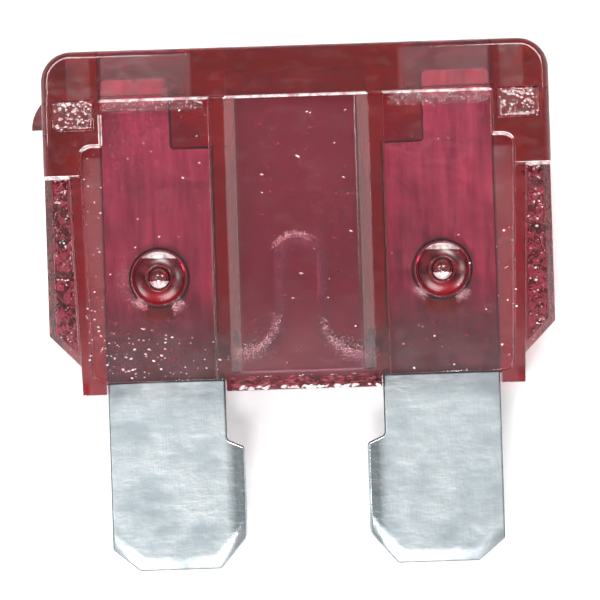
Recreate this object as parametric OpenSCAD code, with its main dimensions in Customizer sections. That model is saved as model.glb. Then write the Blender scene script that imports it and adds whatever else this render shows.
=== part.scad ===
// Blade fuse for vehicles: a transparent moulded housing staked onto a one-piece stamped fuse element.
// It lies on the back of its head. X runs across the width, Y from the blade tips to the head, Z out of the front.
// The working datum is the line of the blade tips on the middle plane; placed() moves it to the frame's origin.

/* [Overall] */
// Width across the head and the side wings
overall_w = 19.1; // [17.5:0.05:24]
// Height of the housing, lower edge to top of head
housing_h = 12.95; // [10.7:0.05:16]
// Length of blade below the housing's lower edge
blade_l = 6.7; // [5.5:0.05:9]

/* [Head] */
// Thickness of the head, front to back
head_t = 5.1; // [4.6:0.05:6.2]
// Height of the head between its side legs
head_h = 1.84; // [1.5:0.02:2.3]
// Height of the inner shoulder beside each window, from the top
shoulder_h = 3.54; // [3:0.02:4.3]
// Height of the outer leg at each side, from the top
leg_h = 4.69; // [4:0.02:5.7]
// Radius of the head's upper corners
corner_r = 1.15; // [0.6:0.05:1.6]
// Radius of the head's front, back and side edges
edge_r = 0.25; // [0.05:0.01:0.4]

/* [Grip recesses] */
// Width of the recess in each leg
grip_w = 1.58; // [1:0.02:1.9]
// Height of the recess
grip_h = 1.12; // [0.6:0.02:1.5]
// Depth of the recess
grip_depth = 0.35; // [0.1:0.05:0.6]
// Wall left between the recess and the side of the head
grip_margin = 0.34; // [0.2:0.02:0.6]

/* [Body] */
// Thickness of the body at its frame and ribs
body_t = 3.8; // [3.4:0.05:4.5]
// Thickness across the sunk faces of the windows
window_t = 3.0; // [2.6:0.05:3.3]
// Width of each solid rib between a side window and the centre window
rib_w = 0.53; // [0.35:0.01:0.7]
// How far each rib laps over the inner edge of the blade's waist
rib_lap = 0.05; // [0:0.01:0.3]
// Width of the sloped sides of the centre window
slope_w = 0.47; // [0.2:0.01:0.6]
// Height of the sill under the centre window
sill_h = 0.66; // [0.5:0.02:1]
// Height of the notch that bares the top of each blade
notch_h = 0.45; // [0.2:0.05:0.6]
// Width of the frame bar outside each side window
bar_w = 0.38; // [0.3:0.01:0.5]
// How much narrower each side of the body is at its lower edge
side_taper = 0.27; // [0:0.01:0.35]
// Radius of the outer corners of each side window
window_r = 0.45; // [0.2:0.05:0.6]

/* [Wings] */
// Width of the thin wing along each side
wing_w = 0.95; // [0.8:0.05:1.15]
// Thickness of the wings
wing_t = 2.2; // [1.4:0.05:2.4]
// Height of the wing's lower corner above the lower edge of the body
wing_rise = 2.27; // [1.8:0.01:2.8]
// Height at which the wing's slanted end meets the body
wing_root = 1.03; // [0.6:0.01:1.3]
// Bevel round the outer edges of the wings
wing_bevel = 0.26; // [0.1:0.01:0.35]

/* [Moulding stub] */
// How far the broken-off stub of the moulding gate stands out of the left side
stub_out = 0.42; // [0.1:0.02:0.6]
// Height of the stub along the side
stub_h = 1.03; // [0.8:0.01:1.2]
// Depth of the stub's upper end below the top of the head
stub_drop = 1.86; // [1.6:0.01:2.2]
// Thickness of the stub
stub_t = 1.3; // [0.8:0.05:2]

/* [Hollows] */
// Clearance all round the fuse element
fit_gap = 0.05; // [0.03:0.01:0.08]
// Wall between the link chamber and the waist of each blade
partition_w = 0.55; // [0.4:0.01:0.7]
// Thickness of the chamber round the fuse link
chamber_t = 1.2; // [1:0.05:1.9]
// Plastic left above the chamber
chamber_roof = 0.93; // [0.6:0.01:1.2]
// Thickness of the test wells in the head
well_t = 2.3; // [1.4:0.05:2.8]
// Inner end of each well, from the inner edge of the blade
well_inset = 1.12; // [0.5:0.02:1.4]
// Height of the wells' floor above the head's lower ledge
well_floor = 0.1; // [0.05:0.05:0.3]

/* [Fuse element] */
// Thickness of the zinc strip
blade_t = 0.65; // [0.5:0.01:0.8]
// Width of each blade
blade_w = 5.1; // [4.3:0.05:5.4]
// Width of each blade above its shoulder
shank_w = 4.43; // [3.9:0.01:4.6]
// Step in the blade's inner edge above the sill, where it narrows to its waist
waist_step = 0.22; // [0.1:0.02:0.4]
// Distance from the side of the housing to the outer edge of the blade
blade_margin = 2.14; // [1.9:0.01:2.4]
// Height of the shoulder on the inner edge, from the tip
shoulder_y = 4.58; // [3.8:0.02:5.2]
// Rise of that shoulder's slanted edge
shoulder_rise = 0.29; // [0.1:0.01:0.5]
// Width of the inner chamfer at the tip
tip_in_w = 1.04; // [0.5:0.02:1.5]
// Length of the inner chamfer
tip_in_l = 1.2; // [0.5:0.02:1.6]
// Width of the outer chamfer at the tip
tip_out_w = 1; // [0.5:0.02:1.5]
// Length of the outer chamfer
tip_out_l = 0.82; // [0.5:0.02:1.6]
// Width of the coined bevel along the tip's end and chamfers
coin_w = 0.56; // [0.2:0.02:0.8]
// Thickness left at the edge of the tip
coin_t = 0.3; // [0.15:0.01:0.45]
// Depth of the tongue's end below the top of the head
probe_depth = 1.05; // [0.7:0.01:1.3]
// Height of the tongue above the inner shoulder of its plate
tongue_h = 2.68; // [2:0.02:3.2]
// Width of the tongue
tongue_w = 2.66; // [2.2:0.02:3.1]
// Corner radius at the end of the tongue
tongue_r = 0.25; // [0.1:0.05:0.5]

/* [Fuse link] */
// Width of the link
link_w = 0.53; // [0.3:0.01:0.7]
// Thickness of the link, thinned from the strip
link_t = 0.3; // [0.15:0.01:0.5]
// Distance of each leg of the link from the centre line
link_leg = 0.82; // [0.7:0.01:1]
// Top of the arch above the housing's lower edge
link_rise = 5.99; // [5:0.01:6.6]
// Centre of the feet above the housing's lower edge
foot_rise = 1.5; // [1.1:0.01:1.8]
// Bend radius of the feet, at the middle of the strip
foot_r = 1.05; // [0.8:0.01:1.2]
// Fillet above each foot, where it meets the blade
foot_fillet = 0.4; // [0.1:0.02:0.5]
// Length of the ramp from blade to link thickness
ramp_l = 0.5; // [0.3:0.02:0.6]

/* [Stakes] */
// Diameter of the hole through each blade
stake_hole = 2.2; // [1.8:0.02:2.5]
// Distance of the hole's centre from the outer edge of the blade
stake_edge = 2.06; // [1.8:0.01:2.3]
// Height of the hole above the housing's lower edge
stake_rise = 4.34; // [3.6:0.01:4.8]
// Diameter of the punched dimple at the face of the window
dimple_d = 2.04; // [1.6:0.02:2.4]
// Diameter that the dimple's wall tapers to
dimple_floor_d = 1.86; // [1.6:0.02:2.1]
// Radius of the dimple's dished floor
dimple_dish_r = 3; // [1.4:0.05:3]
// Depth of the dimple
dimple_depth = 0.62; // [0.3:0.02:0.8]
// Diameter of the ball-shaped button left in the middle of the dimple
button_d = 0.9; // [0.5:0.02:1.1]

/* [Hidden] */
$fn = 64;
eps = 0.01;
past = 1;

// Heights above the blade tips
foot_y = blade_l;
top_y = foot_y + housing_h;
ledge_y = top_y - head_h;
inner_leg_y = top_y - shoulder_h;
outer_leg_y = top_y - leg_h;
notch_y = foot_y + notch_h;
sill_y = foot_y + sill_h;
tongue_y = top_y - probe_depth;
plate_y = tongue_y - tongue_h;
stake_y = foot_y + stake_rise;
link_y = foot_y + link_rise - link_w / 2 - link_leg;
feet_y = foot_y + foot_rise;

// Distances from the centre line
side_x = overall_w / 2;
body_x = side_x - wing_w;
bar_x = body_x - bar_w;
blade_x = side_x - blade_margin;
shank_x = blade_x - shank_w;
tip_x = blade_x - blade_w;
tongue_x = blade_x - tongue_w;
waist_x = shank_x + waist_step;
rib_x = waist_x + rib_lap;
centre_x = rib_x - rib_w;
chamber_x = waist_x - fit_gap - partition_w;
well_x = shank_x + well_inset;
stake_x = blade_x - stake_edge;
slot_t = blade_t + 2 * fit_gap;
stake_d = stake_hole - 2 * fit_gap;

// Brings the working datum to the frame's origin, at the middle of the back of the head.
module placed() {
    translate([0, -top_y / 2, head_t / 2]) children();
}

module both_sides() {
    children();
    mirror([1, 0, 0]) children();
}

module both_faces() {
    children();
    mirror([0, 0, 1]) children();
}

// A plate of a given thickness about the middle plane.
module plate(t) {
    translate([0, 0, -t / 2]) linear_extrude(t) children();
}

// Turns a profile drawn in Y and Z into a bar along X.
module bar_along_x(l) {
    translate([-l / 2, 0, 0]) rotate([90, 0, 90]) linear_extrude(l) children();
}

// Turns a profile drawn in X and Z into a bar along Y, from y0 upwards.
module bar_along_y(y0, l) {
    translate([0, y0 + l, 0]) rotate([90, 0, 0]) linear_extrude(l) children();
}

// Wedges that bevel both faces of a plate along the line from p to q, with the plate to the left of it.
module edge_bevel(p, q, t, width, depth) {
    run = q - p;
    reach = past + 3 * width;
    rise = eps * depth / width;
    translate(p) rotate([0, 0, atan2(run[1], run[0])]) both_faces()
        translate([-reach, 0, 0]) rotate([90, 0, 90]) linear_extrude(norm(run) + 2 * reach)
            polygon([[-eps, t / 2 - depth - rise], [width + eps, t / 2 + rise], [-eps, t / 2 + rise]]);
}

// --- Housing ---

// The head with its stepped legs, seen from the front, with square upper corners.
module head_outline() {
    difference() {
        translate([-side_x, outer_leg_y]) square([2 * side_x, leg_h]);
        translate([-rib_x - eps, outer_leg_y - past]) square([2 * (rib_x + eps), ledge_y - outer_leg_y + past]);
        both_sides() side_window_outline();
    }
}

// A rectangle about the origin with rounded corners.
module rounded_rect(w, h, r) {
    square([w - 2 * r, h], center = true);
    square([w, h - 2 * r], center = true);
    for (x = [-w / 2 + r, w / 2 - r], y = [-h / 2 + r, h / 2 - r]) translate([x, y]) circle(r);
}

// A block over the head and its legs, with round upper corners and one rounding along its sides and top.
module head_block() {
    r = corner_r;
    bar_along_y(outer_leg_y, leg_h - r) rounded_rect(overall_w, head_t, edge_r);
    bar_along_x(overall_w - 2 * r) translate([top_y - leg_h, 0]) rounded_rect(2 * leg_h, head_t, edge_r);
    both_sides() translate([side_x - r, top_y - r, 0]) rotate_extrude() intersection() {
        rounded_rect(2 * r, head_t, edge_r);
        translate([0, -head_t / 2]) square([r, head_t]);
    }
}

module head() {
    intersection() {
        plate(head_t) head_outline();
        head_block();
    }
}

// The body seen from the front: straight under the head, then tapering to its lower edge.
module body_outline() {
    foot_x = body_x - side_taper;
    polygon([[-foot_x, foot_y], [foot_x, foot_y], [body_x, outer_leg_y],
             [body_x, ledge_y + eps], [-body_x, ledge_y + eps], [-body_x, outer_leg_y]]);
}

// One side window, seen from the front, with round outer corners. It opens downwards over the bared blade.
module side_window_outline() {
    r = window_r;
    lower_x = bar_x - side_taper;
    lean = atan(side_taper / (inner_leg_y - notch_y));
    low = [lower_x - r * (1 - sin(lean)) / cos(lean), notch_y + r];
    high = [bar_x - r * (1 + sin(lean)) / cos(lean), inner_leg_y - r];
    polygon([[rib_x, foot_y - past], [blade_x + fit_gap, foot_y - past], [blade_x + fit_gap, notch_y],
             for (a = [-90:15:-lean]) low + r * [cos(a), sin(a)], low + r * [cos(lean), -sin(lean)],
             high + r * [cos(lean), -sin(lean)], for (a = [15:15:90]) high + r * [cos(a), sin(a)],
             [blade_x, inner_leg_y], [blade_x, ledge_y], [rib_x, ledge_y]]);
}

// The centre window: a trough with sloped sides and a flat floor.
module centre_window() {
    floor_z = window_t / 2;
    face_z = body_t / 2;
    floor_x = centre_x - slope_w;
    bar_along_y(sill_y, ledge_y - sill_y)
        polygon([[-floor_x, floor_z], [floor_x, floor_z], [centre_x, face_z], [centre_x, face_z + past],
                 [-centre_x, face_z + past], [-centre_x, face_z]]);
}

module windows() {
    both_faces() {
        translate([0, 0, window_t / 2]) linear_extrude(head_t) both_sides() side_window_outline();
        centre_window();
    }
}

// A thin wing with a slanted lower end and bevelled outer edges.
module wing() {
    rise_y = foot_y + wing_rise;
    root_y = foot_y + wing_root;
    root_x = body_x - side_taper;
    difference() {
        plate(wing_t) polygon([[blade_x, root_y], [root_x, root_y], [side_x, rise_y],
                               [side_x, outer_leg_y + eps], [blade_x, outer_leg_y + eps]]);
        edge_bevel([side_x, rise_y], [side_x, outer_leg_y], wing_t, wing_bevel, wing_bevel);
        edge_bevel([root_x, root_y], [side_x, rise_y], wing_t, wing_bevel, wing_bevel);
    }
}

// The stub of the moulding gate, rounded above and flat below.
module moulding_stub() {
    lower_y = top_y - stub_drop - stub_h;
    r = (stub_h * stub_h + stub_out * stub_out) / (2 * stub_out);
    plate(stub_t) intersection() {
        translate([r - side_x - stub_out, lower_y]) circle(r);
        translate([-side_x - stub_out, lower_y]) square([stub_out + grip_margin, stub_h]);
    }
}

module grip_recesses() {
    both_sides() both_faces()
        translate([side_x - grip_margin - grip_w, ledge_y - grip_h, head_t / 2 - grip_depth])
            cube([grip_w, grip_h, grip_depth + past]);
}

// The pocket for one blade and its tongue, with the stake left standing in it.
module blade_slot() {
    g = fit_gap;
    plate(slot_t) difference() {
        union() {
            translate([shank_x - g, foot_y - past]) square([shank_w + 2 * g, sill_y + g - foot_y + past]);
            translate([waist_x - g, foot_y]) square([blade_x - waist_x + 2 * g, plate_y + g - foot_y]);
            translate([tongue_x - g, foot_y]) square([tongue_w + 2 * g, tongue_y + g - foot_y]);
        }
        translate([stake_x, stake_y]) circle(d = stake_d);
    }
}

// The notch that cuts the front and back walls away over the top of the bare blade.
module blade_notch() {
    translate([shank_x - fit_gap, foot_y - past, -body_t / 2 - past])
        cube([shank_w + 2 * fit_gap, notch_h + past, body_t + 2 * past]);
}

module test_well() {
    floor_y = ledge_y + well_floor;
    plate(well_t) translate([well_x, floor_y])
        square([blade_x + fit_gap - well_x, top_y - floor_y + past]);
}

// The chamber round the link, open at the bottom for assembly, and the gates that its feet pass through.
module link_chamber() {
    roof_y = top_y - chamber_roof;
    gate_top = feet_y + link_w / 2 + foot_fillet + fit_gap;
    plate(chamber_t) translate([-chamber_x, foot_y - past])
        square([2 * chamber_x, roof_y - foot_y + past]);
    plate(slot_t) translate([-waist_x, foot_y - past])
        square([2 * waist_x, gate_top - foot_y + past]);
}

// The punched dimple over a stake: a dished floor with a ball-shaped button in its middle.
module dimple() {
    floor_z = window_t / 2 - dimple_depth;
    difference() {
        intersection() {
            translate([0, 0, floor_z]) cylinder(d1 = dimple_floor_d, d2 = dimple_d, h = dimple_depth);
            translate([0, 0, floor_z + dimple_dish_r]) sphere(dimple_dish_r);
        }
        translate([0, 0, floor_z]) sphere(d = button_d);
    }
}

module housing() {
    color([0.62, 0.05, 0.09, 0.6]) placed() difference() {
        union() {
            difference() {
                plate(body_t) body_outline();
                windows();
            }
            head();
            both_sides() wing();
            moulding_stub();
        }
        grip_recesses();
        link_chamber();
        both_sides() {
            blade_slot();
            blade_notch();
            test_well();
            translate([stake_x, stake_y, 0]) both_faces() dimple();
        }
    }
}

// --- Fuse element ---

// One blade with its shank and test tongue, seen from the front.
module blade_outline() {
    r = tongue_r;
    difference() {
        union() {
            polygon([[tip_x + tip_in_w, 0], [blade_x - tip_out_w, 0], [blade_x, tip_out_l], [blade_x, plate_y],
                     [waist_x, plate_y], [waist_x, sill_y], [shank_x, sill_y],
                     [shank_x, shoulder_y + shoulder_rise], [tip_x, shoulder_y], [tip_x, tip_in_l]]);
            translate([tongue_x, plate_y - eps]) square([tongue_w, tongue_h - r + eps]);
            translate([tongue_x + r, plate_y]) square([tongue_w - 2 * r, tongue_h]);
            for (x = [tongue_x + r, blade_x - r]) translate([x, tongue_y - r]) circle(r);
        }
        translate([stake_x, stake_y]) circle(d = stake_hole);
    }
}

// What coining presses off one tip, along its end and both chamfers.
module tip_coining() {
    tip = [[tip_x, tip_in_l], [tip_x + tip_in_w, 0], [blade_x - tip_out_w, 0], [blade_x, tip_out_l]];
    for (i = [0:2]) edge_bevel(tip[i], tip[i + 1], blade_t, coin_w, (blade_t - coin_t) / 2);
}

// A quarter of a ring about the origin, between its middle radius plus and minus half the link's width.
module quarter_ring(r) {
    intersection() {
        difference() {
            circle(r + link_w / 2);
            circle(r - link_w / 2);
        }
        square(r + link_w);
    }
}

// One half of the link: half the arch, a leg, a foot that turns outwards, and its run to the blade.
module half_link_outline() {
    bend_y = feet_y + foot_r;
    foot_x = link_leg + foot_r;
    translate([0, link_y]) quarter_ring(link_leg);
    translate([link_leg - link_w / 2, bend_y - eps]) square([link_w, link_y - bend_y + 2 * eps]);
    translate([foot_x, bend_y]) rotate(180) quarter_ring(foot_r);
    translate([foot_x - eps, feet_y - link_w / 2]) square([waist_x - foot_x + 2 * eps, link_w]);
    difference() {
        translate([waist_x - foot_fillet, feet_y + link_w / 2 - eps]) square(foot_fillet + eps);
        translate([waist_x - foot_fillet, feet_y + link_w / 2 + foot_fillet]) circle(foot_fillet);
    }
}

// The link's thickness seen from above, ramped up to the strip's at each blade.
module ramped_profile() {
    h = blade_t / 2;
    l = link_t / 2;
    thin_x = waist_x - ramp_l;
    polygon([[-waist_x - past, -h], [-waist_x, -h], [-thin_x, -l], [thin_x, -l], [waist_x, -h],
             [waist_x + past, -h], [waist_x + past, h], [waist_x, h], [thin_x, l], [-thin_x, l],
             [-waist_x, h], [-waist_x - past, h]]);
}

module fuse_element() {
    color([0.78, 0.81, 0.84]) placed() union() {
        both_sides() difference() {
            plate(blade_t) blade_outline();
            tip_coining();
        }
        intersection() {
            plate(blade_t) both_sides() half_link_outline();
            bar_along_y(foot_y, housing_h) ramped_profile();
        }
    }
}

housing();
fuse_element();
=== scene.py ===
import math

import bpy
import bmesh
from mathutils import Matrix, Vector, geometry, noise
from mathutils.bvhtree import BVHTree


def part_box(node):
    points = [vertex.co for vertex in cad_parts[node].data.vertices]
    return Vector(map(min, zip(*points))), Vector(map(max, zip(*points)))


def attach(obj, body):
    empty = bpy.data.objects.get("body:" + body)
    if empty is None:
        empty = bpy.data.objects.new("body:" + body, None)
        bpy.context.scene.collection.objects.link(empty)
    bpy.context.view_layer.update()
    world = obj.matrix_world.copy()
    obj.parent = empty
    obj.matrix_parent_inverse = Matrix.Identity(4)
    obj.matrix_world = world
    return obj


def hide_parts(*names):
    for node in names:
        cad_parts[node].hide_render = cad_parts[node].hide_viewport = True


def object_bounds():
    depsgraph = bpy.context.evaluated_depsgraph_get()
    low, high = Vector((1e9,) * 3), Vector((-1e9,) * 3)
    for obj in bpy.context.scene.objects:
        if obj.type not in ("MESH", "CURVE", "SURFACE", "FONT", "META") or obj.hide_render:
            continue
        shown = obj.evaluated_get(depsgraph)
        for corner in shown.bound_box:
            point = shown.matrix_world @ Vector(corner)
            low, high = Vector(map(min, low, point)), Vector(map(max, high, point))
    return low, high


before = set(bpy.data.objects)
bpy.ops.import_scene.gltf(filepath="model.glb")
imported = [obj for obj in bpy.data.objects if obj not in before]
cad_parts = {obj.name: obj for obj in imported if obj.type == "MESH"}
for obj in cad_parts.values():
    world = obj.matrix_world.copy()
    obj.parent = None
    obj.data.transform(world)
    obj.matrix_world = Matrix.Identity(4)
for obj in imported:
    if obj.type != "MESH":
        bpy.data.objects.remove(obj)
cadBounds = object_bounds()
mm = 0.001
sharpAngle = math.radians(32)   # an edge that turns further than this is rounded, and stays crisp


def hexToLinear(text):
    # sRGB hex to the linear colour that shaders take
    channels = [int(text[i:i + 2], 16) / 255 for i in (1, 3, 5)]
    return [c / 12.92 if c <= 0.04045 else ((c + 0.055) / 1.055) ** 2.4 for c in channels] + [1.0]


def addNode(tree, kind, settings=None, links=None):
    # one node with its settings, and its inputs set or linked by name or index
    node = tree.nodes.new(kind)
    for name, value in (settings or {}).items():
        setattr(node, name, value)
    for key, value in (links or {}).items():
        socket = node.inputs[key]
        if isinstance(value, bpy.types.NodeSocket):
            tree.links.new(value, socket)
        else:
            socket.default_value = value
    return node


def rampOf(tree, value, stops):
    # a colour ramp with the given places and colours
    ramp = addNode(tree, "ShaderNodeValToRGB", links={0: value})
    points = ramp.color_ramp.elements
    while len(points) < len(stops):
        points.new(1)
    for point, (at, colour) in zip(points, stops):
        point.position = at
        point.color = hexToLinear(colour) if isinstance(colour, str) else (colour, colour, colour, 1)
    return ramp.outputs[0]


def noiseOf(tree, coord, size, detail=3, stretch=(1, 1, 1), rough=0.5):
    # noise whose features are about size metres across, drawn out along an axis by stretch
    scaled = addNode(tree, "ShaderNodeMapping", {"vector_type": "POINT"}, {
        "Vector": coord, "Scale": tuple(1 / (size * k) for k in stretch)})
    return addNode(tree, "ShaderNodeTexNoise", links={
        "Vector": scaled.outputs[0], "Scale": 1.0, "Detail": detail, "Roughness": rough}).outputs["Fac"]


def newMaterial(name):
    # a material with one shader, and the coordinates of the piece that wears it
    mat = bpy.data.materials.new(name)
    mat.use_nodes = True
    tree = mat.node_tree
    coord = addNode(tree, "ShaderNodeTexCoord").outputs["Object"]
    return mat, tree, tree.nodes["Principled BSDF"], coord


def newPiece(name, mesh):
    ob = bpy.data.objects.new(name, mesh)
    bpy.context.scene.collection.objects.link(ob)
    return ob


low, high = (Vector(corner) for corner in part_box("housing"))
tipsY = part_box("fuse_element")[0][1]
place = {   # of what the frame holds inside its boxes; an X counts from the middle to either side
    "middleZ": high.z / 2,
    "bodyZ": 1.9 * mm,                 # half the body's thickness
    "bodyX": 8.6 * mm,                 # where the wings begin
    "ledgeY": high.y - 1.84 * mm,      # underside of the head
    "gripY": high.y - 2.4 * mm,        # middle of the grips
    "gripX": 7.6 * mm,                 # their inner side
    "innerLegY": high.y - 3.54 * mm,   # lower ends of the head's two steps
    "legY": high.y - 4.69 * mm,
    "bladeX": 7.41 * mm,               # outer side of the blades
    "stakeX": 5.35 * mm,               # middle of the dimples
    "stakeY": tipsY + 11.04 * mm,
    "linkX": 2.7 * mm,                 # outer side of the link
    "feetY": tipsY + 8.2 * mm,         # middle of its feet
}

# the camera looks straight down at the fuse, which lies on a light table in a soft tent with four panels
view = {
    "distance": 450 * mm,   # above the head's front face
    "frameWidth": 22.56 * mm,  # what the render's width spans at that face
    "roll": 1.85,           # degrees, the object leans this much to the left
    "centre": (-0.06 * mm, 0.22 * mm),
}


def placeCamera():
    camera = bpy.data.cameras.new("camera")
    camera.sensor_width = 36
    camera.lens = camera.sensor_width * view["distance"] / view["frameWidth"]
    camera.clip_start = 1 * mm
    camera.clip_end = 10
    ob = newPiece("camera", camera)
    ob.location = (*view["centre"], cadBounds[1][2] + view["distance"])
    ob.rotation_euler = (0, 0, math.radians(-view["roll"]))
    bpy.context.scene.camera = ob


tent = {
    # height, 0 to 1, and brightness
    "bands": ((0.0, 2.0), (0.3, 2.0), (0.4, 0.54), (0.9, 0.54), (0.97, 0.12)),
    "pastHead": 0.3,   # what is left of that on the side past the head
}


def paintWorld():
    world = bpy.data.worlds.new("softTent")
    world.use_nodes = True
    tree = world.node_tree
    tree.nodes.clear()
    coord = addNode(tree, "ShaderNodeTexCoord")
    split = addNode(tree, "ShaderNodeSeparateXYZ", links={0: coord.outputs["Generated"]})
    bands = rampOf(tree, split.outputs["Z"], tent["bands"])
    behind = addNode(tree, "ShaderNodeMapRange", links={
        "Value": split.outputs["Y"], "From Min": 0.2, "From Max": 0.7,
        "To Min": 1.0, "To Max": tent["pastHead"]}).outputs[0]
    back = addNode(tree, "ShaderNodeBackground", links={"Color": bands, "Strength": behind})
    addNode(tree, "ShaderNodeOutputWorld", links={"Surface": back.outputs[0]})
    bpy.context.scene.world = world


panels = {   # square and facing the object; azimuth is turned from -Y towards +X, in degrees
    # azimuth, elevation, distance, size, radiance
    "frontPanel": (-15, 66, 300 * mm, 65 * mm, 25),
    "leftPanel": (-85, 60, 300 * mm, 60 * mm, 9),
    # small and near, so the head is the brightest; off to the sides, so its straight edge doesn't mirror them
    "headPanelLeft": (220, 56, 36 * mm, 12 * mm, 10.8),
    "headPanelRight": (140, 56, 36 * mm, 12 * mm, 10.8),
}


def placePanel(name, azimuth, elevation, distance, size, radiance):
    lamp = bpy.data.lights.new(name, "AREA")
    lamp.size = size
    lamp.energy = radiance * math.pi * size * size
    a, e = math.radians(azimuth), math.radians(elevation)
    direction = Vector((math.sin(a) * math.cos(e), -math.cos(a) * math.cos(e), math.sin(e)))
    ob = newPiece(name, lamp)
    ob.location = direction * distance
    ob.rotation_euler = direction.to_track_quat("Z", "Y").to_euler()
    ob.visible_camera = False


def setLightPaths():
    # enough bounces to pass through every wall of the clear plastic
    bpy.context.scene.view_settings.view_transform = "Standard"
    cycles = bpy.context.scene.cycles
    cycles.max_bounces = 24
    cycles.transmission_bounces = 20
    cycles.glossy_bounces = 10
    cycles.diffuse_bounces = 4
    cycles.blur_glossy = 0
    cycles.sample_clamp_indirect = 12


placeCamera()
paintWorld()
for name, panel in panels.items():
    placePanel(name, *panel)
setLightPaths()
print("stage: camera and light")

table = {
    "half": 1.5,          # half its side, in metres
    "drop": 0.02 * mm,    # how far it is below the fuse
    "glow": 0.2,          # it is lit from below
}


def layTable():
    # opal acrylic of a light table: plain, matt and glowing, so it stays white under the fuse
    half = table["half"]
    mesh = bpy.data.meshes.new("floor")
    corners = [(-half, -half, 0), (half, -half, 0), (half, half, 0), (-half, half, 0)]
    mesh.from_pydata(corners, [], [(0, 1, 2, 3)])
    floor = newPiece("floor", mesh)
    floor.location.z = -table["drop"]
    mat = bpy.data.materials.new("opalAcrylic")
    mat.use_nodes = True
    skin = mat.node_tree.nodes["Principled BSDF"]
    skin.inputs["Base Color"].default_value = hexToLinear("#FAFAFA")
    skin.inputs["Roughness"].default_value = 0.8
    skin.inputs["Emission Color"].default_value = hexToLinear("#FFFFFF")
    skin.inputs["Emission Strength"].default_value = table["glow"]
    mesh.materials.append(mat)


layTable()

plastic = {
    "absorbed": (145, 1200, 880),   # of red, green and blue, per metre
    "passed": "#D0D0D0",     # what a surface lets through
    "clear": 0.98,           # share of the light that isn't scattered at the surface
    "wave": 2.2 * mm,        # width of the moulding's sink marks
    "waveDepth": 0.03 * mm,
    "scuff": 0.35 * mm,      # width of the scuffs
    "scuffDepth": 0.012 * mm,
    "scuffDulls": 0.35,      # how much a scuff dulls, of what haze does
    "blotch": 1.1 * mm,      # width of the patches by which the haze varies
    "hazeTop": 1.2 * mm,     # where the haze over the lower end fades out
    "sill": (0.35 * mm, 0.7 * mm),   # above the lower edge: clear up to here, and hazy from here
    "hazes": (   # other dulled patches on both halves: mm from the middle, and above the lower edge
        # x, half width, y, half height, fade, strength
        (7.75, 0.42, 4.4, 4.6, 0.15, 0.9),    # strips beside the windows
        (5.6, 1.75, 11.95, 0.85, 0.12, 0.75),  # over the test wells
        (8.15, 0.5, 11.95, 0.85, 0.12, 0.6),
        (8.95, 0.35, 4.6, 3.5, 0.1, 0.4),     # wings
        (5.45, 1.95, 10.85, 0.3, 0.2, 0.9),   # under the head's ledge
        (8.4, 0.8, 10.55, 0.56, 0.1, 0.7),    # grips
        (1.9, 0.75, 1.6, 0.5, 0.5, 0.8),      # over the feet of the link
    ),
    "rough": (0.05, 0.22),   # of clean and of hazy plastic
    "coatRough": 0.5,        # of the dull film that lies on the haze
    "chamber": (2.65 * mm, 0.7 * mm),   # half the width and height of the hollow round the link
    "chamberRough": 0.32,    # its walls come dull off the mould's core
}


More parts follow.
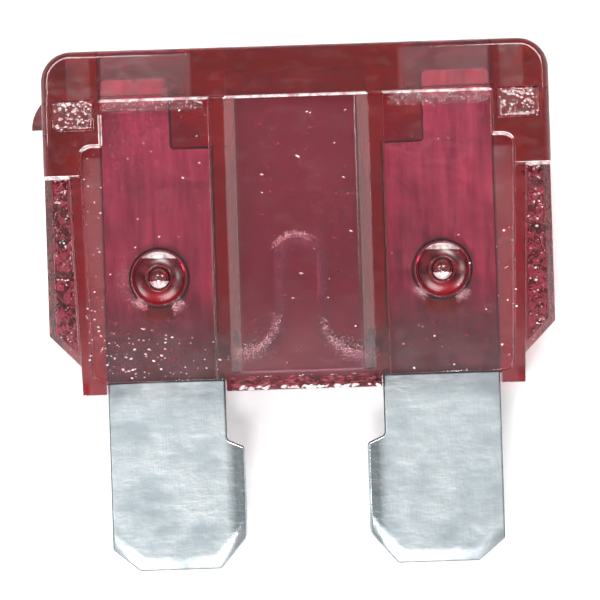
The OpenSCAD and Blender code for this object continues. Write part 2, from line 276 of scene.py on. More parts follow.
def redPolycarbonate():
    # injection-moulded clear polycarbonate, dyed red: glassy, with soft scuffs and a hazy lower end
    mat = bpy.data.materials.new("mouldedRedPolycarbonate")
    mat.use_nodes = True
    tree = mat.node_tree
    tree.nodes.clear()

    def maths(operation, *values):
        return addNode(tree, "ShaderNodeMath", {"operation": operation}, dict(enumerate(values))).outputs[0]

    coord = addNode(tree, "ShaderNodeTexCoord").outputs["Object"]
    wave = noiseOf(tree, coord, plastic["wave"], 1)
    scuff = noiseOf(tree, coord, plastic["scuff"], 4, (1.8, 1, 1), 0.6)
    blotch = noiseOf(tree, coord, plastic["blotch"], 3)
    split = addNode(tree, "ShaderNodeSeparateXYZ", links={0: coord})
    lowEnd = addNode(tree, "ShaderNodeMapRange", {"interpolation_type": "SMOOTHSTEP"}, {
        "Value": split.outputs["Y"], "From Min": plastic["hazeTop"], "From Max": low.y,
        "To Max": 1.0}).outputs[0]
    scuffed = rampOf(tree, scuff, ((0.5, 0.0), (0.72, 1.0)))
    patchy = rampOf(tree, blotch, ((0.3, 0.6), (0.6, 1.0)))
    clearTo, hazyFrom = plastic["sill"]
    sill = addNode(tree, "ShaderNodeMapRange", links={
        "Value": split.outputs["Y"], "From Min": low.y + clearTo, "From Max": low.y + hazyFrom}).outputs[0]
    haze = maths("MULTIPLY", maths("MULTIPLY", lowEnd, patchy), sill)
    aside = maths("ABSOLUTE", split.outputs["X"])
    for x, halfX, y, halfY, fade, strength in plastic["hazes"]:
        spot = []
        reaches = ((aside, x * mm, halfX * mm), (split.outputs["Y"], low.y + y * mm, halfY * mm))
        for value, middle, half in reaches:
            far = maths("ABSOLUTE", maths("SUBTRACT", value, middle))
            spot.append(addNode(tree, "ShaderNodeMapRange", {"interpolation_type": "SMOOTHSTEP"}, {
                "Value": far, "From Min": half, "From Max": half - fade * mm, "To Max": strength}).outputs[0])
        haze = maths("MAXIMUM", haze, maths("MULTIPLY", maths("MULTIPLY", *spot), patchy))
    dulled = maths("MULTIPLY_ADD", scuffed, plastic["scuffDulls"], haze)
    film = addNode(tree, "ShaderNodeClamp", links={0: dulled}).outputs[0]
    clean, hazy = plastic["rough"]
    outside = addNode(tree, "ShaderNodeMapRange", {"clamp": False}, {
        "Value": dulled, "To Min": clean, "To Max": hazy}).outputs[0]
    across = maths("LESS_THAN", aside, plastic["chamber"][0])
    level = maths("COMPARE", split.outputs["Z"], place["middleZ"], plastic["chamber"][1])
    rough = maths("MULTIPLY_ADD", maths("MULTIPLY", across, level), plastic["chamberRough"], outside)
    waves = addNode(tree, "ShaderNodeBump", links={
        "Strength": 1.0, "Distance": plastic["waveDepth"], "Height": wave}).outputs[0]
    scratches = addNode(tree, "ShaderNodeBump", links={
        "Strength": 0.5, "Distance": plastic["scuffDepth"], "Height": scuff, "Normal": waves}).outputs[0]
    skin = addNode(tree, "ShaderNodeBsdfPrincipled", links={
        "Base Color": hexToLinear(plastic["passed"]), "Roughness": rough, "IOR": 1.585,
        "Transmission Weight": plastic["clear"], "Normal": scratches,
        "Coat Weight": film, "Coat Roughness": plastic["coatRough"], "Coat IOR": 1.5})
    # taken off per metre: 1 less the colour, times the density
    density = max(plastic["absorbed"])
    inside = addNode(tree, "ShaderNodeVolumeAbsorption", links={
        "Color": (*[1 - a / density for a in plastic["absorbed"]], 1), "Density": density})
    addNode(tree, "ShaderNodeOutputMaterial", links={"Surface": skin.outputs[0], "Volume": inside.outputs[0]})
    return mat


opaque = {   # the same plastic where it isn't clear: width of its patches, their two tints, roughness
    "chalkAndHighlightPolycarbonate": (0.25 * mm, ((0.36, "#C39599"), (0.6, "#FFFBFA")), 0.45),
    "glintPinkPolycarbonate": (0.25 * mm, ((0.36, "#D58793"), (0.6, "#FFC9D0")), 0.45),
    "grimedPolycarbonate": (0.4 * mm, ((0.35, "#6A2028"), (0.65, "#933F4A")), 0.55),
    "dirtyPolycarbonate": (0.4 * mm, ((0.35, "#98464F"), (0.65, "#BC747E")), 0.55),
    "paintedDarkPolycarbonate": (0.35 * mm, ((0.38, "#3E0A10"), (0.62, "#6A1C26")), 0.22),
}


def opaquePolycarbonate(name):
    # chalked: crazed white where it is nicked, so it shows as bright specks, and white for painted
    # highlights; flushed: pink, for painted glints of the link and round the dimples; grimed: brownish red
    # dirt pressed into wear; dirty: paler dirt, settled on the back
    width, tints, roughness = opaque[name]
    mat, tree, skin, coord = newMaterial(name)
    tint = rampOf(tree, noiseOf(tree, coord, width), tints)
    tree.links.new(tint, skin.inputs["Base Color"])
    skin.inputs["Roughness"].default_value = roughness
    return mat


def paintedDarkPolycarbonate():
    # painted dark, nearly black red: on the floor of the dimples as painted shade, and on the broken stub;
    # with a painted red glow at the lower side of each dimple
    width, tints, roughness = opaque["paintedDarkPolycarbonate"]
    glow = place["stakeY"] - 0.3 * mm, place["stakeY"] - 0.75 * mm   # where it begins, and where it is full
    mat, tree, skin, coord = newMaterial("paintedDarkPolycarbonate")
    y = addNode(tree, "ShaderNodeSeparateXYZ", links={0: coord}).outputs["Y"]
    paintedGlow = addNode(tree, "ShaderNodeMapRange", {"interpolation_type": "SMOOTHSTEP"}, {
        "Value": y, "From Min": glow[0], "From Max": glow[1]}).outputs[0]
    shadeTint = rampOf(tree, noiseOf(tree, coord, width), tints)
    tint = addNode(tree, "ShaderNodeMix", {"data_type": "RGBA"}, {
        0: paintedGlow, 6: shadeTint, 7: hexToLinear("#8A101C")}).outputs[2]
    tree.links.new(tint, skin.inputs["Base Color"])
    skin.inputs["Roughness"].default_value = roughness
    return mat


tin = {
    "cloud": 1.3 * mm,     # width of the cloudy patches
    "smear": 0.35 * mm,    # width of the wiped smears
    "smearShare": 0.45,    # how strong they are beside the clouds
    "lumpDepth": 0.02 * mm,
    "scratch": 0.05 * mm,  # width of the finest scratches, drawn coarse enough to show
    "scratchDepth": 0.003 * mm,
    "streak": 0.45 * mm,   # width of the upright streaks on the tin that the housing covers
    "bright": (-2.2 * mm, 1.2 * mm),   # from here up the tin is painted brighter, as painted light, and here it is fully so
    "flush": (1.15 * mm, 0.78 * mm, 0.58 * mm),   # red below each dimple: how far, half width and height
    "linkPolish": 0.6,     # the link's roughness beside the blades'
}


def tinnedZinc():
    # tin-plated zinc strip: pale bluish silver, cloudy and satin, brighter where it was wiped
    mat, tree, skin, coord = newMaterial("tinnedZinc")
    cloud = noiseOf(tree, coord, tin["cloud"], 4)
    smear = noiseOf(tree, coord, tin["smear"], 5, (3, 1, 1), 0.6)
    mixed = addNode(tree, "ShaderNodeMath", {"operation": "MULTIPLY_ADD"}, {
        0: smear, 1: tin["smearShare"], 2: cloud}).outputs[0]
    handled = rampOf(tree, mixed, ((0.55, "#9CA5AA"), (0.72, "#B0B9BD"), (0.88, "#CAD1D4")))
    drawn = noiseOf(tree, coord, tin["streak"], 4, (1, 7, 1), 0.6)
    paintedLitTin = rampOf(tree, drawn, ((0.3, "#C4CACD"), (0.52, "#EBEEF0"), (0.66, "#FFFFFF")))
    rough = rampOf(tree, mixed, ((0.5, 0.5), (0.9, 0.36)))
    # painted light: the tin under the housing is painted brighter than the bare blades, for the light that
    # reaches it through the plastic; lower down it keeps the handled, duller tones
    split = addNode(tree, "ShaderNodeSeparateXYZ", links={0: coord})
    kept = addNode(tree, "ShaderNodeMapRange", {"interpolation_type": "SMOOTHSTEP"}, {
        "Value": split.outputs["Y"], "From Min": tin["bright"][0], "From Max": tin["bright"][1]}).outputs[0]
    colour = addNode(tree, "ShaderNodeMix", {"data_type": "RGBA"}, {
        0: kept, 6: handled, 7: paintedLitTin}).outputs[2]
    # painted shade on the tin: a dark shadow line where the plastic ends, darker tin in the windows above it
    # that lightens upwards, and full brightness near the head, where more light falls
    height = addNode(tree, "ShaderNodeMapRange", links={
        "Value": split.outputs["Y"], "From Min": low.y, "From Max": high.y}).outputs[0]
    paintedShade = rampOf(tree, height, (
        (0.029, 1.0), (0.031, 0.1), (0.037, 0.1), (0.04, 0.58), (0.16, 0.62), (0.32, 0.93), (0.82, 0.93),
        (0.85, 1.0)))
    colour = addNode(tree, "ShaderNodeMix", {"data_type": "RGBA", "blend_type": "MULTIPLY"}, {
        0: 1.0, 6: colour, 7: paintedShade}).outputs[2]
    # the dimples throw red light on the tin below them
    aside = addNode(tree, "ShaderNodeMath", {"operation": "ABSOLUTE"}, {0: split.outputs["X"]}).outputs[0]
    below, halfX, halfY = tin["flush"]
    flat = addNode(tree, "ShaderNodeCombineXYZ", links={0: aside, 1: split.outputs["Y"]}).outputs[0]
    spot = addNode(tree, "ShaderNodeMapping", {"vector_type": "TEXTURE"}, {
        "Vector": flat, "Location": (place["stakeX"], place["stakeY"] - below, 0),
        "Scale": (halfX, halfY, 1)}).outputs[0]
    away = addNode(tree, "ShaderNodeVectorMath", {"operation": "LENGTH"}, {0: spot}).outputs["Value"]
    flush = addNode(tree, "ShaderNodeMapRange", {"interpolation_type": "SMOOTHSTEP"}, {
        "Value": away, "From Min": 1.15, "From Max": 0.7}).outputs[0]
    colour = addNode(tree, "ShaderNodeMix", {"data_type": "RGBA", "blend_type": "MULTIPLY"}, {
        0: flush, 6: colour, 7: hexToLinear("#FF2A30")}).outputs[2]
    # the link is drawn thinner and smoother than the blades
    blade = addNode(tree, "ShaderNodeMapRange", links={
        "Value": aside, "From Min": place["linkX"], "From Max": place["linkX"] + 0.4 * mm,
        "To Min": tin["linkPolish"], "To Max": 1.0}).outputs[0]
    roughness = addNode(tree, "ShaderNodeMath", {"operation": "MULTIPLY"}, {0: rough, 1: blade}).outputs[0]
    fine = noiseOf(tree, coord, tin["scratch"], 2, (1, 9, 1))
    lines = addNode(tree, "ShaderNodeBump", links={
        "Strength": 1.0, "Distance": tin["scratchDepth"], "Height": fine}).outputs[0]
    lumps = addNode(tree, "ShaderNodeBump", links={
        "Strength": 1.0, "Distance": tin["lumpDepth"], "Height": mixed, "Normal": lines}).outputs[0]
    skin.inputs["Metallic"].default_value = 1.0
    tree.links.new(colour, skin.inputs["Base Color"])
    tree.links.new(roughness, skin.inputs["Roughness"])
    tree.links.new(lumps, skin.inputs["Normal"])
    return mat


def shearedZincAndShade():
    # the cut edge of the strip: bare zinc, torn and dull grey; the grey is also painted shade on these
    # sideways-facing edges
    mat, tree, skin, coord = newMaterial("shearedZincAndShade")
    torn = noiseOf(tree, coord, 0.06 * mm, 3, (1, 1, 6))
    tree.links.new(rampOf(tree, torn, ((0.3, "#4A4D50"), (0.7, "#84898D"))), skin.inputs["Base Color"])
    skin.inputs["Metallic"].default_value = 1.0
    skin.inputs["Roughness"].default_value = 0.5
    return mat


def mergedCopy(node, name, cuts):
    # the CAD mesh with its loose triangles joined and its flat faces whole again, but for a few straight
    # cuts through the holes, so that no face runs all round a hole
    bm = bmesh.new()
    bm.from_mesh(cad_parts[node].data)
    bmesh.ops.remove_doubles(bm, verts=bm.verts, dist=0.002 * mm)
    for axis, at in cuts:
        point, normal = Vector(), Vector()
        point[axis], normal[axis] = at, 1
        parts = bm.verts[:] + bm.edges[:] + bm.faces[:]
        cut = bmesh.ops.bisect_plane(bm, geom=parts, dist=0.001 * mm, plane_co=point, plane_no=normal)
        for part in cut["geom_cut"]:
            if isinstance(part, bmesh.types.BMEdge):
                part.seam = True
    bmesh.ops.dissolve_limit(
        bm, angle_limit=math.radians(0.4), verts=bm.verts, edges=bm.edges, delimit={"SEAM"})
    return newPiece(name, bpy.data.meshes.new(name)), bm


def roundEdges(ob, bm, widthOf, segments):
    # a bevel on every edge over sharpAngle, with the width in metres that widthOf gives it from the edge's
    # middle, whether it juts out, and whether it is in the open
    tree = BVHTree.FromBMesh(bm)
    weights = bm.edges.layers.float.new("bevel_weight_edge")
    widest = 0
    for edge in bm.edges:
        angle = edge.calc_face_angle_signed()
        if abs(angle) < sharpAngle:
            continue
        out = (edge.link_faces[0].normal + edge.link_faces[1].normal).normalized()
        middle = (edge.verts[0].co + edge.verts[1].co) / 2
        reached = tree.ray_cast(middle + out * 0.02 * mm, out)[0] is None   # starts just clear of the surface
        edge[weights] = widthOf(middle, angle > 0, reached)
        widest = max(widest, edge[weights])
    for edge in bm.edges:
        edge[weights] /= widest
    bm.to_mesh(ob.data)
    bevel = ob.modifiers.new("roundedEdges", "BEVEL")
    bevel.limit_method = "WEIGHT"
    bevel.width = widest
    bevel.segments = segments
    bevel.use_clamp_overlap = False
    bevel.miter_outer = "MITER_ARC"
    takeShape(ob)
    bm.clear()
    bm.from_mesh(ob.data)
    bmesh.ops.dissolve_limit(bm, angle_limit=math.radians(0.2), verts=bm.verts, edges=bm.edges)


def takeShape(ob):
    # the modifiers' result becomes the mesh
    mesh = bpy.data.meshes.new_from_object(ob.evaluated_get(bpy.context.evaluated_depsgraph_get()))
    ob.modifiers.clear()
    ob.data = mesh


def smoothFaces(ob):
    for face in ob.data.polygons:
        face.use_smooth = True


def finishShape(ob, bm):
    # smooth shading that leaves flat faces flat and edges over sharpAngle crisp
    bm.to_mesh(ob.data)
    bm.free()
    smoothFaces(ob)
    ob.data.set_sharp_from_angle(angle=sharpAngle)
    shade = ob.modifiers.new("flatFaces", "WEIGHTED_NORMAL")
    shade.keep_sharp = True
    shade.weight = 90
    takeShape(ob)


def grainFace(bm, face, spacing, heightAt):
    # fills a flat face with a loose grid of points, each as high above it as heightAt gives
    shake, rimGap = 0.3, 0.45   # of the spacing
    sliver = 1e-5 * mm * mm
    normal = face.normal.copy()
    u = Vector((1, 0, 0)) if abs(normal.x) < 0.5 else Vector((0, 1, 0))
    u = (u - normal * u.dot(normal)).normalized()
    v = normal.cross(u)
    rim = face.verts[:]
    origin = rim[0].co.copy()
    flat = [Vector(((p.co - origin).dot(u), (p.co - origin).dot(v))) for p in rim]
    lowest = Vector((min(p.x for p in flat), min(p.y for p in flat)))
    highest = Vector((max(p.x for p in flat), max(p.y for p in flat)))
    inner = []
    for i in range(int((highest.x - lowest.x) / spacing) + 1):
        for j in range(int((highest.y - lowest.y) / spacing) + 1):
            p = lowest + Vector((i, j)) * spacing + noise.random_unit_vector(size=2) * shake * spacing
            if insideBy(p, flat, rimGap * spacing):
                inner.append(p)
    found = geometry.delaunay_2d_cdt(flat + inner, [], [list(range(len(flat)))], 1, 1e-9, True)
    places, triangles, sources = found[0], found[2], found[3]
    corners = []
    for at, source in zip(places, sources):
        if source and source[0] < len(rim):
            corners.append(rim[source[0]])
        else:
            co = origin + u * at.x + v * at.y
            corners.append(bm.verts.new(co + normal * heightAt(co)))
    for triangle in triangles:
        if geometry.area_tri(*(places[k] for k in triangle)) < sliver:
            continue   # along a straight rim
        piece = bm.faces.new([corners[k] for k in triangle])
        piece.normal_update()
        if piece.normal.dot(normal) < 0:
            piece.normal_flip()
    bmesh.ops.delete(bm, geom=[face], context="FACES_ONLY")


def insideBy(point, outline, margin):
    # whether a point is inside a closed outline and at least margin away from it
    inside = False
    for a, b in zip(outline, outline[1:] + outline[:1]):
        if (a.y > point.y) != (b.y > point.y):
            if point.x < (b.x - a.x) * (point.y - a.y) / (b.y - a.y) + a.x:
                inside = not inside
        near, share = geometry.intersect_point_line(point, a, b)
        near = a if share < 0 else b if share > 1 else near.to_2d()
        if (point - near).length < margin:
            return False
    return inside


shell = {
    "edge": 0.03 * mm,      # rounding of the outer edges
    "fillet": 0.09 * mm,    # rounding where a wall meets a sunk face
    "wingGrain": (0.05 * mm, 0.12 * mm, 0.028 * mm),   # point spacing, grain width and height
    "gripGrain": (0.055 * mm, 0.2 * mm, 0.05 * mm),
    "gripDepth": (0.2 * mm, 0.5 * mm),   # the grips' floors are this far below the head's face, from and to
    "highlightBand": 0.2 * mm,     # height of the painted highlight, a white band under a ledge
    "blotch": 0.85 * mm,    # height of the painted highlight, a white patch beside the left window
    "button": 0.46 * mm,    # radius of the button in each dimple, whose lower side is painted white as a highlight
    "buttonTop": 0.8 * mm,  # it is further than this from the middle of the body's thickness
    "shadedRing": (0.5 * mm, 0.93 * mm),   # the ring of painted shade in each dimple, from and to
}


def isStub(at):
    # whether a point is on what is left of the moulding's gate, which stands out of the left side
    return at.x < -high.x - 0.02 * mm


def sparkGrain(width, height):
    # the pitted look of a mould face cut by sparks: fine grain over a coarser one
    def heightAt(co):
        fine = noise.noise(co / width)
        coarse = noise.noise(co / (2.7 * width) + Vector((7, 3, 1)))
        return height * (0.65 * fine + 0.5 * coarse)
    return heightAt


def isPaintedHighlight(at, normal):
    # painted highlights, as white faces: on the fillets under the head's ledges and steps, beside the left
    # window, and on the lower side of each dimple's button
    outward = normal.z if at.z > place["middleZ"] else -normal.z
    depth = abs(at.z - place["middleZ"])
    isFillet = normal.y < -0.1 and outward > 0.1
    if abs(at.y - place["ledgeY"]) < shell["highlightBand"] and depth < place["bodyZ"]:
        return isFillet
    if abs(at.y - place["legY"]) < shell["highlightBand"] and abs(at.x) > place["bodyX"]:
        return isFillet
    if abs(at.y - place["innerLegY"]) < shell["highlightBand"] and place["bladeX"] < abs(at.x) < place["bodyX"]:
        return isFillet
    if abs(at.x + place["bladeX"]) < shell["highlightBand"] and 0 < at.y - place["innerLegY"] < shell["blotch"]:
        return normal.x > 0.1 and outward > 0.1
    if stakeDistance(at) < shell["button"] and depth > shell["buttonTop"]:
        return outward > 0.5 and -0.85 < normal.y < -0.25
    return False


def isPaintedDark(at, normal):
    # where the plastic is painted dark: the broken stub, and, as painted shade, the floor of each dimple
    # round its button
    if isStub(at):
        return True
    outward = normal.z if at.z > place["middleZ"] else -normal.z
    return shell["shadedRing"][0] < stakeDistance(at) < shell["shadedRing"][1] and outward > 0.4


def stakeDistance(at):
    # from the middle of the nearer dimple, seen from the front
    return Vector((abs(at.x) - place["stakeX"], at.y - place["stakeY"])).length


def mouldedShell():
    cuts = ((1, place["stakeY"]), (1, place["gripY"]), (2, place["middleZ"]))
    ob, bm = mergedCopy("housing", "mouldedHousing", cuts)

    def widthOf(middle, convex, reached):
        if not reached or middle.x < -high.x + 0.02 * mm:
            return 0   # the gate stub stays as it broke
        return shell["edge"] if convex else shell["fillet"]

    roundEdges(ob, bm, widthOf, 3)
    wings, grips = [], []
    for face in bm.faces:
        at = face.calc_center_median()
        if abs(face.normal.z) < 0.99 or face.calc_area() < 0.5 * mm * mm:
            continue   # not one of the broad flat faces
        if abs(at.x) > place["bodyX"] and at.y < place["legY"]:
            wings.append(face)
        depth = min(high.z - at.z, at.z)
        if shell["gripDepth"][0] < depth < shell["gripDepth"][1] and abs(at.x) > place["gripX"]:
            grips.append(face)
    print("stage: grain on", len(wings), "wing faces and", len(grips), "grip faces")
    for faces, (spacing, width, height) in ((wings, shell["wingGrain"]), (grips, shell["gripGrain"])):
        for face in faces:
            grainFace(bm, face, spacing, sparkGrain(width, height))
    finishShape(ob, bm)
    ob.data.materials.clear()
    for mat in (redPolycarbonate(), chalkAndHighlight, paintedDarkPolycarbonate()):
        ob.data.materials.append(mat)
    # faces of painted highlight take the white plastic, faces painted dark the dark one
    for face in ob.data.polygons:
        if isPaintedHighlight(face.center, face.normal):
            face.material_index = 1
        elif isPaintedDark(face.center, face.normal):
            face.material_index = 2
    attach(ob, "root")
    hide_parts("housing")
    return ob


# white plastic for the nicks, and for painted highlights
chalkAndHighlight = opaquePolycarbonate("chalkAndHighlightPolycarbonate")
noise.seed_set(7)
housing = mouldedShell()
print("stage: moulded housing", len(housing.data.polygons), "faces")

strip = {
    "roll": 0.09 * mm,      # rolled edges that the stamping leaves
    "coined": 0.05 * mm,    # edges of the coined tips
    "coinedLength": 1.3 * mm,
    "link": 0.12 * mm,      # edges of the thin link, nearly round
    "ramp": (2.65 * mm, 3.3 * mm),   # from and to, where the link thickens into the blade
    "rampHeight": 0.8 * mm,   # half its height
}


def stampedStrip():
    ob, bm = mergedCopy("fuse_element", "stampedFuseElement", ((1, place["stakeY"]),))

    def widthOf(middle, convex, reached):
        start, end = strip["ramp"]
        if start < abs(middle.x) < end and abs(middle.y - place["feetY"]) < strip["rampHeight"]:
            return 0   # its edges are too short to round
        if abs(middle.x) < place["linkX"]:
            return strip["link"]
        return strip["coined"] if middle.y < tipsY + strip["coinedLength"] else strip["roll"]

    roundEdges(ob, bm, widthOf, 3)
    finishShape(ob, bm)
    ob.data.materials.clear()
    ob.data.materials.append(tinnedZinc())
    ob.data.materials.append(shearedZincAndShade())
    for face in ob.data.polygons:
        if abs(face.normal.z) < 0.75 and abs(face.center.x) > place["linkX"]:
            face.material_index = 1   # the sheared edge of a blade, dark partly as painted shade
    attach(ob, "root")
    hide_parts("fuse_element")
    return ob


element = stampedStrip()
print("stage: fuse element", len(element.data.polygons), "faces")

rimHighlight = {
    "radius": 1.0 * mm,         # outer edge of the painted highlight, a white crescent over each dimple
    "from": math.radians(48),   # its ends, turned from +X
    "to": math.radians(128),
    "width": 0.26 * mm,         # at its middle
    "thickness": 0.012 * mm,
    "steps": 28,
    "rows": 5,
}


def pressedCrescents():
    # a painted highlight: a thin white crescent on the upper wall of each dimple
    bm = bmesh.new()
    surface = BVHTree.FromObject(housing, bpy.context.evaluated_depsgraph_get())
    for side in (-1, 1):
        for facing in (-1, 1):
            middle = Vector((side * place["stakeX"], place["stakeY"], 0))
            rows = []
            for i in range(rimHighlight["steps"] + 1):
                share = i / rimHighlight["steps"]
                turn = rimHighlight["from"] + share * (rimHighlight["to"] - rimHighlight["from"])
                width = rimHighlight["width"] * (0.04 + 0.96 * math.sin(math.pi * share) ** 0.8)   # pointed ends
                row = []
                for j in range(rimHighlight["rows"] + 1):
                    reach = rimHighlight["radius"] - width * j / rimHighlight["rows"]
                    at = middle + Vector((math.cos(turn), math.sin(turn), 0)) * reach
                    at.z = place["middleZ"] + facing * 3 * mm   # outside the housing
                    hit, normal = surface.ray_cast(at, Vector((0, 0, -facing)))[:2]
                    row.append(bm.verts.new(hit + normal * 0.5 * rimHighlight["thickness"]))
                rows.append(row)
            for a, b in zip(rows, rows[1:]):
                for j in range(rimHighlight["rows"]):
                    bm.faces.new((a[j], b[j], b[j + 1], a[j + 1])[::facing])
    mesh = bpy.data.meshes.new("pressedCrescents")
    bmesh.ops.recalc_face_normals(bm, faces=bm.faces)
    bm.to_mesh(mesh)
    bm.free()
    ob = newPiece("pressedCrescents", mesh)
    wall = ob.modifiers.new("wall", "SOLIDIFY")
    wall.thickness = rimHighlight["thickness"]
    takeShape(ob)
    ob.data.materials.append(chalkAndHighlight)
    smoothFaces(ob)
    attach(ob, "root")
    return ob


rimHighlights = pressedCrescents()
print("stage: crescents", len(rimHighlights.data.polygons), "faces")

# wear on the plastic as flat white chips, and painted highlights made the same way; x counts in mm from the
# middle, y in mm above the housing's lower edge
nicksAndGlints = {
    "seed": 5,
    "flatness": 0.25,   # a chip's height, of its radius
    "zones": (
        # x from, to, y from, to, nicks per square mm, radius in mm, how much longer than wide
        (-7.7, -5.6, 0.5, 2.5, 12, 0.034, 1.8),     # lower end of the left window
        (-5.6, -3.1, 0.5, 2.2, 7, 0.034, 1.8),
        (3.1, 7.4, 0.5, 2.2, 1.2, 0.04, 1.3),       # and of the right one
        (-7.5, -3.2, 2.5, 10.8, 0.7, 0.035, 1.5),   # the rest of them
        (3.2, 7.5, 2.2, 10.8, 0.5, 0.035, 1.5),
        (-8.15, -7.4, 1.0, 4.0, 12, 0.034, 1.5),    # strips beside the windows
        (-8.15, -7.4, 4.0, 9.2, 4, 0.04, 1.3),
        (7.4, 8.15, 1.0, 6.0, 4, 0.04, 1.3),
        (-9.2, -8.75, 1.3, 8.1, 8, 0.03, 1.5),      # wings
        (-9.2, -8.6, 1.2, 2.6, 16, 0.036, 1.5),
        (8.6, 9.2, 1.2, 8.1, 12, 0.03, 1.5),
        (8.65, 9.2, 2.9, 4.6, 8, 0.045, 1.3),
        (8.65, 9.2, 5.6, 6.9, 8, 0.045, 1.3),
        (-2.3, 2.3, 0.8, 10.8, 0.35, 0.035, 2.5),   # centre window
        (-2.3, 2.3, 0.8, 2.4, 1.0, 0.04, 1.5),
        (-7.35, -3.5, 10.9, 11.08, 500, 0.015, 1.5),   # painted highlight: a pale veil under the head's ledge
        (-7.35, -3.5, 10.7, 10.9, 200, 0.015, 1.5),
        (3.5, 7.35, 10.8, 11.08, 450, 0.015, 1.5),
        (3.5, 7.35, 10.55, 10.8, 180, 0.015, 1.5),
        (-9.15, -7.65, 10.02, 11.08, 30, 0.045, 1.3),  # grips, with painted highlights along their upper and lower edges
        (7.65, 9.15, 10.02, 11.08, 24, 0.045, 1.3),
        (7.7, 9.1, 10.92, 11.08, 60, 0.05, 1.5),
        (7.7, 9.1, 10.02, 10.15, 50, 0.05, 1.5),
        (-9.1, -7.7, 10.95, 11.08, 70, 0.055, 2),
        (-4.2, -3.55, 10.8, 11.06, 40, 0.05, 1.5),   # a painted highlight, brightest at this end of the line under the ledge
        (-2.4, 2.8, 0.04, 0.14, 110, 0.06, 2),      # painted glints along the lower edge of the sill, and a thin painted highlight line above them
        (-2.2, 2.4, 0.5, 0.53, 120, 0.02, 4),
    ),
}

paintedGlintArcs = {   # painted glints: pale pink curves on the front, over the link's feet and arch, and round the dimples
    "seed": 6,
    "flatness": 0.2,
    "speck": (0.013, 1.6),   # radius in mm, how much longer than wide
    "steps": 14,             # along an arc
    "rows": (0.25, 0.7, 1.0, 0.7, 0.25),   # how dense it is across its width
    "arcs": (
        # x and y of the centre, radius, from and to in degrees, width, specks per square mm
        (-2.4, 2.9, 1.48, -95, 0, 0.36, 1300),
        (-2.4, 2.9, 1.5, -105, -50, 0.8, 600),
        (2.35, 2.75, 1.55, 182, 272, 0.34, 1000),
        (2.35, 2.75, 1.45, 215, 290, 0.95, 600),
        (-0.18, 4.85, 0.99, 50, 150, 0.3, 1500),
        (-5.35, 4.34, 1.2, 218, 248, 0.42, 2000),
        (-5.35, 4.34, 1.35, 150, 236, 0.6, 250),
        (-5.35, 4.34, 1.28, 290, 316, 0.5, 1800),
        (5.35, 4.34, 1.2, 206, 240, 0.42, 1600),
        (5.35, 4.34, 1.22, 292, 322, 0.42, 1800),
    ),
}

grimed = {   # dark specks
    "seed": 8,
    "flatness": 0.12,
    "zones": (   # as for the nicks
        (-9.3, -8.6, 1.2, 8.0, 1.5, 0.06, 1.4),     # wings
        (8.6, 9.3, 1.2, 8.0, 1.5, 0.06, 1.4),
        (-2.7, 2.9, 0.14, 0.5, 60, 0.07, 3),        # sill
        (-7.6, -3.1, 0.5, 3.0, 2, 0.04, 2.5),       # lower ends of the windows
        (3.1, 7.6, 0.5, 2.5, 1.5, 0.04, 2.5),
        (-2.3, 2.3, 0.8, 10.8, 0.8, 0.035, 3),      # centre window
    ),
}

settled = {   # dirt that has settled on the back of the wings
    "seed": 9,
    "flatness": 0.12,
    "zones": (   # as for the nicks
        (-9.25, -8.55, 1.0, 8.2, 60, 0.08, 1.5),
        (8.55, 9.25, 1.0, 8.2, 36, 0.08, 1.5),
    ),
}


def boxCorners(zones):
    # the corners and figures of straight zones
    return [(((x0, y0), (x1, y0), (x1, y1), (x0, y1)), figures) for x0, x1, y0, y1, *figures in zones]


def arcCorners(arcs):
    # the same for curved ones, cut into short faces that thin out towards their rims and ends
    faces = []
    steps, rows = paintedGlintArcs["steps"], paintedGlintArcs["rows"]
    for x, y, reach, start, end, width, density in arcs:
        for i in range(steps):
            turns = [math.radians(start + (end - start) * k / steps) for k in (i, i + 1)]
            fade = math.sin(math.pi * (i + 0.5) / steps) ** 0.7
            for j, share in enumerate(rows):
                inner, outer = (reach + width * (k / len(rows) - 0.5) for k in (j, j + 1))
                corners = [(x + r * math.cos(t), y + r * math.sin(t)) for r, t in (
                    (inner, turns[0]), (outer, turns[0]), (outer, turns[1]), (inner, turns[1]))]
                faces.append((corners, (density * fade * share, *paintedGlintArcs["speck"])))
    return faces


def zoneFaces(name, zones, sides):
    # one flat face over each zone, in front of the fuse (1) and behind it (-1), that carries its figures
    bm = bmesh.new()
    layers = [bm.faces.layers.float.new(figure) for figure in ("density", "radius", "stretch")]
    for corners, (density, radius, stretch) in zones:
        for order in sides:
            z = high.z + mm if order > 0 else low.z - mm
            face = bm.faces.new([bm.verts.new((x * mm, low.y + y * mm, z)) for x, y in corners[::order]])
            for layer, value in zip(layers, (density / mm ** 2, radius * mm, stretch)):
                face[layer] = value
    mesh = bpy.data.meshes.new(name)
    bm.to_mesh(mesh)
    bm.free()
    return newPiece(name, mesh)


chips = {   # the same for all four
    "Surface": housing,
    "Fall": 6 * mm,      # how far one may drop onto the surface
    "Turn": 0.5,         # how far it is turned, in radians, either way
    "Smallest": 0.4,     # the smallest, of the zone's radius
    "Spread": 0.9,       # how much larger than that the largest is
    "Crowding": 2.0,     # the higher, the more of them are small
}


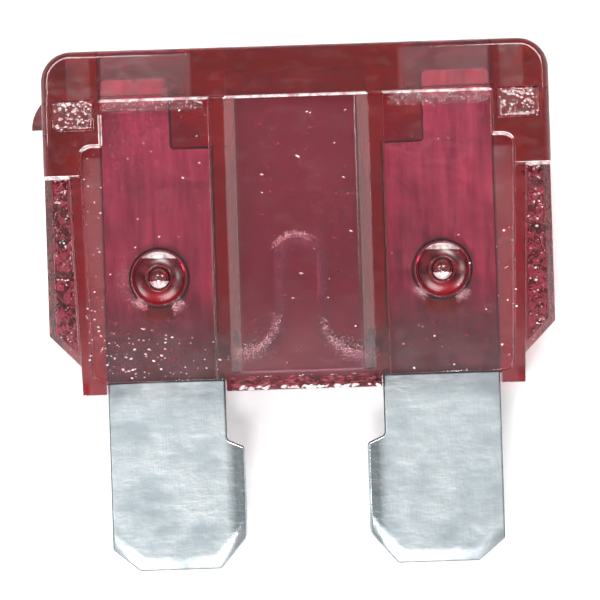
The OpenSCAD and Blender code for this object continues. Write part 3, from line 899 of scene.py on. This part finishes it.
def chipTree():
    # drops small flat chips from each zone onto the surface below it
    tree = bpy.data.node_groups.new("scatterNicks", "GeometryNodeTree")
    sockets = {}
    kinds = {"Zones": "Geometry", "Surface": "Object", "Material": "Material", "Seed": "Int"}
    for name in (*kinds, "Flatness", "Fall", "Turn", "Smallest", "Spread", "Crowding"):
        kind = "NodeSocket" + kinds.get(name, "Float")
        sockets[name] = tree.interface.new_socket(name, in_out="INPUT", socket_type=kind)
    tree.interface.new_socket("Nicks", in_out="OUTPUT", socket_type="NodeSocketGeometry")
    given = addNode(tree, "NodeGroupInput").outputs

    def figure(name):
        return addNode(tree, "GeometryNodeInputNamedAttribute", {"data_type": "FLOAT"}, {
            "Name": name}).outputs[0]

    def chance(seed, lowest, highest):
        return addNode(tree, "FunctionNodeRandomValue", {"data_type": "FLOAT"}, {
            2: lowest, 3: highest, "Seed": seed}).outputs[1]

    def maths(operation, *values):
        return addNode(tree, "ShaderNodeMath", {"operation": operation}, dict(enumerate(values))).outputs[0]

    dropped = addNode(tree, "GeometryNodeDistributePointsOnFaces", {"distribute_method": "RANDOM"}, {
        "Mesh": given["Zones"], "Density": figure("density"), "Seed": given["Seed"]})
    down = addNode(tree, "ShaderNodeVectorMath", {"operation": "SCALE"}, {
        0: dropped.outputs["Normal"], "Scale": -1.0}).outputs[0]
    target = addNode(tree, "GeometryNodeObjectInfo", links={"Object": given["Surface"]}).outputs["Geometry"]
    hit = addNode(tree, "GeometryNodeRaycast", links={
        "Target Geometry": target, "Ray Direction": down, "Ray Length": given["Fall"]})
    missed = addNode(tree, "FunctionNodeBooleanMath", {"operation": "NOT"}, {
        0: hit.outputs["Is Hit"]}).outputs[0]
    landed = addNode(tree, "GeometryNodeDeleteGeometry", {"domain": "POINT"}, {
        "Geometry": dropped.outputs["Points"], "Selection": missed}).outputs[0]
    facingKind = {"data_type": "FLOAT_VECTOR"}
    kept = addNode(tree, "GeometryNodeStoreNamedAttribute", {**facingKind, "domain": "POINT"}, {
        "Geometry": landed, "Name": "facing", "Value": hit.outputs["Hit Normal"]})
    placed = addNode(tree, "GeometryNodeSetPosition", links={
        "Geometry": kept.outputs[0], "Position": hit.outputs["Hit Position"]})
    facing = addNode(tree, "GeometryNodeInputNamedAttribute", facingKind, {"Name": "facing"}).outputs[0]
    turned = addNode(tree, "ShaderNodeCombineXYZ", links={
        "Z": chance(1, maths("MULTIPLY", given["Turn"], -1.0), given["Turn"])}).outputs[0]
    spun = addNode(tree, "FunctionNodeEulerToRotation", links={0: turned}).outputs[0]
    aligned = addNode(tree, "FunctionNodeAlignRotationToVector", {"axis": "Z"}, {
        "Rotation": spun, "Vector": facing}).outputs[0]
    share = maths("POWER", chance(2, 0.0, 1.0), given["Crowding"])
    grown = maths("MULTIPLY_ADD", share, given["Spread"], given["Smallest"])
    radius = maths("MULTIPLY", figure("radius"), grown)
    size = addNode(tree, "ShaderNodeCombineXYZ", links={
        "X": maths("MULTIPLY", radius, figure("stretch")), "Y": radius,
        "Z": maths("MULTIPLY", radius, given["Flatness"])}).outputs[0]
    chip = addNode(tree, "GeometryNodeMeshIcoSphere", links={"Radius": 1.0, "Subdivisions": 1}).outputs[0]
    instances = addNode(tree, "GeometryNodeInstanceOnPoints", links={
        "Points": placed.outputs[0], "Instance": chip, "Rotation": aligned, "Scale": size}).outputs[0]
    real = addNode(tree, "GeometryNodeRealizeInstances", links={0: instances}).outputs[0]
    coloured = addNode(tree, "GeometryNodeSetMaterial", links={
        "Geometry": real, "Material": given["Material"]}).outputs[0]
    addNode(tree, "NodeGroupOutput", links={0: coloured})
    return tree, {name: socket.identifier for name, socket in sockets.items()}


def scattered(name, worn, corners, material, sides=(1, -1)):
    ob = zoneFaces(name, corners, sides)
    scatter = ob.modifiers.new(name, "NODES")
    scatter.node_group, inputs = chipScatter
    sizes = {**chips, "Seed": worn["seed"], "Flatness": worn["flatness"], "Material": material}
    for socket, value in sizes.items():
        scatter[inputs[socket]] = value
    takeShape(ob)
    smoothFaces(ob)
    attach(ob, "root")
    print("stage:", name, len(ob.data.polygons), "faces")


chipScatter = chipTree()
scattered("nicks", nicksAndGlints, boxCorners(nicksAndGlints["zones"]), chalkAndHighlight)
# pink painted glints, on the front only
scattered("smears", paintedGlintArcs, arcCorners(paintedGlintArcs["arcs"]), opaquePolycarbonate("glintPinkPolycarbonate"), (1,))
scattered("grime", grimed, boxCorners(grimed["zones"]), opaquePolycarbonate("grimedPolycarbonate"))
scattered("settledDirt", settled, boxCorners(settled["zones"]),
          opaquePolycarbonate("dirtyPolycarbonate"), (-1,))
